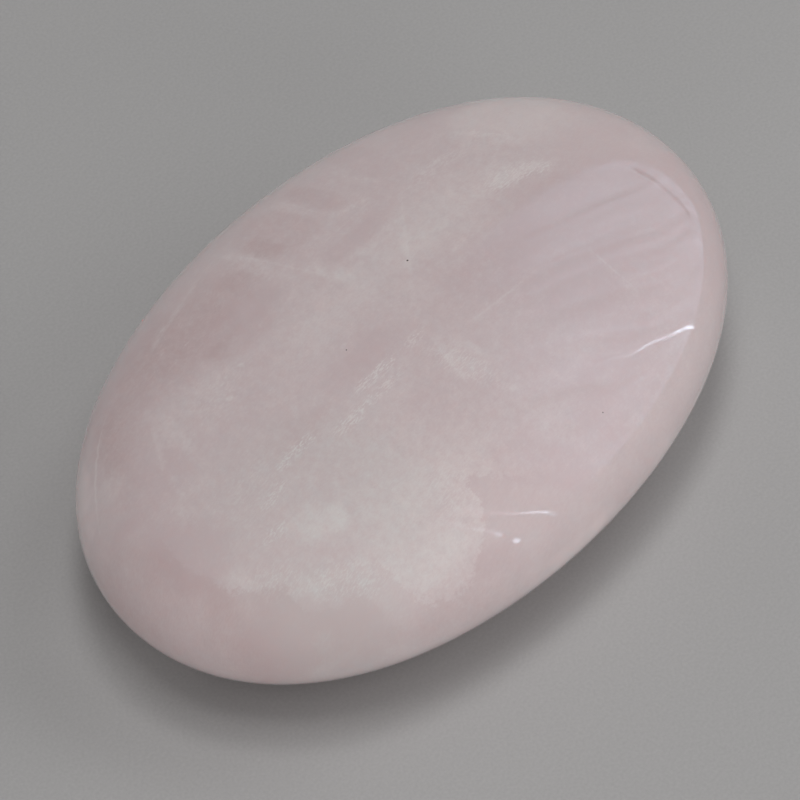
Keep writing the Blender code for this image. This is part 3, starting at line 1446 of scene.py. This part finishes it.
@dataclass(frozen=True)
class Surroundings:
    """What the polished stone mirrors: a dim room with a bright draped cloth to the camera's right.

    Diffuse light comes from the lamps alone, and the camera sees a plain pale backdrop.

    Attributes:
        view: the camera's place, from which the cloth's place is given.
        backdrop: what the camera sees past the table.
        room: the light of the room.
        cloth: the light of the cloth.
        window: the light of the slits.
        middle: the cloth's middle, in degrees right of the camera's heading and above the table.
        spread: how far round its middle the cloth is whole, and where it has faded away, in degrees.
        edge: where the cloth's left edge meets the table, in degrees right of the camera's heading.
        edge_lean: how far the left edge leans to the left, in degrees for each degree of height.
        edge_blur: how far its left edge fades each way, in degrees.
        table_blur: how far a lower edge fades each way, the cloth's or a slit's, in degrees.
        folds: the pattern of the folds, whose size is in degrees.
        fold_depth: how much the folds change the cloth's light.
        fold_peak: how far the peak that the folds fan out from is from straight up, as a slope.
        fold_hang: how far the fan is turned at the cloth's top, so that the folds hang, in degrees.
        slits: the bright slits and the dark gaps.
    """

    # Heights, as the sine of their angle, between which the fan turns into hanging folds.
    HANG_FROM = -0.1
    HANG_TO = 0.7
    # How many degrees of the folds' pattern pass from the table to straight up.
    FOLD_CHANGE = 4.0
    # Shares of a slit's width at which it is whole and at which it has faded away.
    SLIT_WHOLE = 0.35
    SLIT_GONE = 0.65

    view: Viewpoint
    backdrop: Colour = (0.42, 0.415, 0.41)
    room: Colour = (0.33, 0.325, 0.32)
    cloth: Colour = (0.80, 0.92, 1.12)
    window: Colour = (0.76, 0.88, 1.06)
    middle: tuple[float, float] = (50.0, 10.0)
    spread: tuple[float, float] = (42.0, 57.0)
    edge: float = 41.0
    edge_lean: float = 0.8
    edge_blur: float = 1.2
    table_blur: float = 0.5
    folds: Grain = Grain(2.1, 4.0, 0.65)
    fold_depth: float = 0.85
    fold_peak: float = 0.5
    fold_hang: float = 23.0
    slits: tuple[Slit, ...] = (
        Slit((69.4, -2.0), (71.5, 18.0), 0.40, 15.0, 0.01),
        Slit((71.5, 18.0), (69.0, 38.5), 0.28, 14.0, 0.3),
        Slit((69.2, 37.2), (61.4, 48.3), 0.8, 0.9),
        Slit((61.4, 48.3), (44.4, 57.9), 1.0, 0.6, 0.8),
        Slit((106.7, -0.6), (107.4, 9.0), 0.8, 1.6, 0.1),
        Slit((107.3, 8.4), (108.8, 32.0), 0.4, 8.0, 0.4),
        Slit((108.8, 29.0), (106.4, 47.4), 0.9, 1.6),
        Slit((106.4, 47.4), (96.2, 62.4), 1.1, 1.2, 0.7),
        Slit((114.9, 20.6), (114.5, 28.0), 0.7, 6.0, 0.8),
        Slit((114.6, 24.0), (112.6, 47.3), 0.9, 1.6),
        Slit((112.6, 47.3), (103.4, 62.4), 1.1, 1.0, 0.7),
        Slit((114.0, 3.0), (114.4, 9.8), 0.9, 9.0),
        Slit((24.2, 25.4), (35.2, 18.4), 3.0, -0.9, 0.1),
        Slit((35.2, 18.4), (43.6, 9.2), 2.4, -0.9, 0.1),
        Slit((9.6, 36.4), (14.3, 35.0), 2.6, -0.3, 0.1),
    )

    def build(self) -> bpy.types.World:
        """Makes the world's light.

        Returns:
            The world.
        """
        world = bpy.data.worlds.new("light_tent")
        world.use_nodes = True
        graph = Graph(world.node_tree)
        direction = graph.add("ShaderNodeTexCoord").outputs["Generated"]
        forwards, right = self.view.towards(0.0, 0.0), self.view.towards(90.0, 0.0)
        ahead, rightward = graph.dot(direction, forwards), graph.dot(direction, right)
        upward = graph.split(direction)[2]
        side = graph.math("DEGREES", graph.math("ARCTAN2", rightward, ahead))
        height = graph.math("DEGREES", graph.math("ARCSINE", upward))
        outline = self._outline(graph, direction, side, height)
        draped = graph.scale(self.cloth, self._folds(graph, rightward, ahead, upward))
        seen = graph.mix(outline, self.room, draped)
        light = graph.total(*(self._slit(graph, side, height, slit) for slit in self.slits))
        seen = graph.vector("ADD", seen, graph.scale(self.window, light))
        ray = graph.add("ShaderNodeLightPath").outputs
        colour = graph.mix(ray["Is Camera Ray"], graph.scale(seen, ray["Is Glossy Ray"]), self.backdrop)
        graph.feed(world.node_tree.nodes["Background"].inputs["Color"], colour)
        bpy.context.scene.world = world
        return world

    def _outline(self, graph: Graph, direction: Wire, side: Wire, height: Wire) -> Socket:
        """Whether the cloth hangs in a direction: 1 inside its outline, and 0 past its soft edge.

        Args:
            graph: the world's tree.
            direction: where the light comes from, as a unit vector.
            side: degrees right of the camera's heading.
            height: degrees above the table.

        Returns:
            The share.
        """
        whole, faded = (math.cos(math.radians(turn)) for turn in self.spread)
        near = graph.step(graph.dot(direction, self.view.towards(*self.middle)), faded, whole)
        leaning = graph.math("MULTIPLY_ADD", height, self.edge_lean, side)
        sharp = graph.step(leaning, self.edge - self.edge_blur, self.edge + self.edge_blur)
        above = graph.step(height, -self.table_blur, self.table_blur)
        return graph.math("MULTIPLY", graph.math("MULTIPLY", near, sharp), above)

    def _folds(self, graph: Graph, rightward: Wire, ahead: Wire, upward: Wire) -> Socket:
        """How bright the cloth's folds are: they fan out from a peak at its upper left and then hang.

        Args:
            graph: the world's tree.
            rightward: how far the direction points to the camera's right.
            ahead: how far it points along the camera's heading.
            upward: how far it points up.

        Returns:
            The brightness, 1 on average.
        """
        across = graph.math("MULTIPLY_ADD", upward, self.fold_peak, rightward)
        along = graph.math("MULTIPLY_ADD", upward, -self.fold_peak, ahead)
        fan = graph.math("DEGREES", graph.math("ARCTAN2", along, across))
        hang = graph.step(upward, self.HANG_FROM, self.HANG_TO, 0.0, self.fold_hang)
        lengthwise = graph.math("MULTIPLY", upward, self.FOLD_CHANGE)
        folds = graph.noise(graph.join(graph.math("ADD", fan, hang), lengthwise, 0.0), self.folds)
        return graph.math("ADD", 1.0, graph.spread(folds, self.fold_depth))

    def _slit(self, graph: Graph, side: Wire, height: Wire, slit: Slit) -> Socket:
        """How bright a slit is in a direction.

        Args:
            graph: the world's tree.
            side: degrees right of the camera's heading.
            height: degrees above the table.
            slit: the slit.

        Returns:
            The light.
        """
        (low_side, low), (high_side, high) = sorted((slit.low, slit.high), key=lambda end: end[1])
        lean = (high_side - low_side) / (high - low)
        middle = graph.math("MULTIPLY_ADD", height, lean, low_side - lean * low)
        away = graph.math("ABSOLUTE", graph.math("SUBTRACT", side, middle))
        gone, whole = slit.width * self.SLIT_GONE, slit.width * self.SLIT_WHOLE
        across = graph.step(away, gone, whole, 0.0, slit.light)
        below = graph.step(height, low - self.table_blur, low + self.table_blur)
        above = graph.step(height, high, high - (high - low) * slit.fade)
        return graph.math("MULTIPLY", across, graph.math("MULTIPLY", below, above))


@dataclass(frozen=True)
class Studio:
    """The table, the lamps, the surroundings and the camera.

    Attributes:
        view: the camera's place.
        table_colour: the table top.
        table_side: how wide the table is.
        sink: how far its top lies under the stone's flat spot.
        paper: the pattern of the table top's fine grain, in millimetres.
        paper_contrast: how much the grain changes the table top's colour.
        paper_roughness: how matt the table top is.
        paper_shine: how strongly it mirrors.
        lamps: the soft lamps.
    """

    view: Viewpoint = Viewpoint()
    table_colour: Colour = (0.492, 0.484, 0.481)
    table_side: float = 0.7
    sink: float = 0.02 * MM
    paper: Grain = Grain(0.30, 2.0)
    paper_contrast: float = 0.05
    paper_roughness: float = 0.8
    paper_shine: float = 0.1
    lamps: tuple[Lamp, ...] = (
        Lamp("overhead", 180.0, 89.9, (0.16, 0.16), 0.57),
        Lamp("behind_camera", 194.0, 75.0, (0.20, 0.16), 0.49),
        Lamp("high_right", 60.0, 58.0, (0.20, 0.18), 0.21),
        Lamp("high_behind", 180.0, 58.0, (0.20, 0.18), 0.17),
        Lamp("far_right", 45.0, 34.0, (0.44, 0.26), 0.38),
        Lamp("right", 90.0, 34.0, (0.44, 0.26), 0.56),
        Lamp("left", 270.0, 36.0, (0.44, 0.26), 0.15),
        Lamp("low_right", 135.0, 13.0, (0.36, 0.26), 0.80),
        Lamp("low_front", 185.0, 13.0, (0.36, 0.26), 0.53),
        Lamp("low_left", 230.0, 13.0, (0.36, 0.26), 0.15),
        Lamp("low_side", 275.0, 13.0, (0.36, 0.26), 0.16),
        Lamp("low_far", 338.0, 13.0, (0.36, 0.26), 0.60),
    )

    def build(self, subject: Vector) -> None:
        """Sets up everything round the stone.

        Args:
            subject: the stone's middle.
        """
        self._table()
        for lamp in self.lamps:
            lamp.build(self.view, subject)
            LOG.info("lamp: %s", lamp.name)
        Surroundings(self.view).build()
        self.view.build(subject)
        bpy.context.scene.view_settings.view_transform = "Standard"

    def _table(self) -> bpy.types.Object:
        """Makes the plain pale table top, which is no part of the object.

        Returns:
            The table top.
        """
        half = self.table_side / 2
        signs = ((-1, -1), (1, -1), (1, 1), (-1, 1))
        corners = [(x * half, y * half, -self.sink) for x, y in signs]
        mesh = bpy.data.meshes.new("table_top")
        mesh.from_pydata(corners, [], [(0, 1, 2, 3)])
        mesh.materials.append(self._paper())
        table = bpy.data.objects.new("table_top", mesh)
        bpy.context.scene.collection.objects.link(table)
        return table

    def _paper(self) -> bpy.types.Material:
        """The table's pale, matt covering with its fine grain.

        Returns:
            The material.
        """
        material = bpy.data.materials.new("pale_paper")
        material.use_nodes = True
        graph = Graph(material.node_tree)
        shader = material.node_tree.nodes["Principled BSDF"]
        place = graph.scale(graph.add("ShaderNodeTexCoord").outputs["Object"], 1.0 / MM)
        grain = graph.spread(graph.noise(place, self.paper), self.paper_contrast)
        colour = graph.scale(self.table_colour, graph.math("ADD", 1.0, grain))
        graph.feed(shader.inputs["Base Color"], colour)
        shader.inputs["Roughness"].default_value = self.paper_roughness
        shader.inputs["Specular IOR Level"].default_value = self.paper_shine
        return material


def main() -> None:
    """Builds the stone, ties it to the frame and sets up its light.
    """
    logging.basicConfig(level=logging.INFO, format="%(name)s: %(message)s")
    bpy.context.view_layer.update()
    shape = PebbleShape.filling(STONE_NODE)
    stone = PalmStone(shape, RoseQuartz())
    stone.place(stone.build())
    Studio().build(Vector((0.0, 0.0, shape.thickness / 2)))


if __name__ == "__main__":
    main()
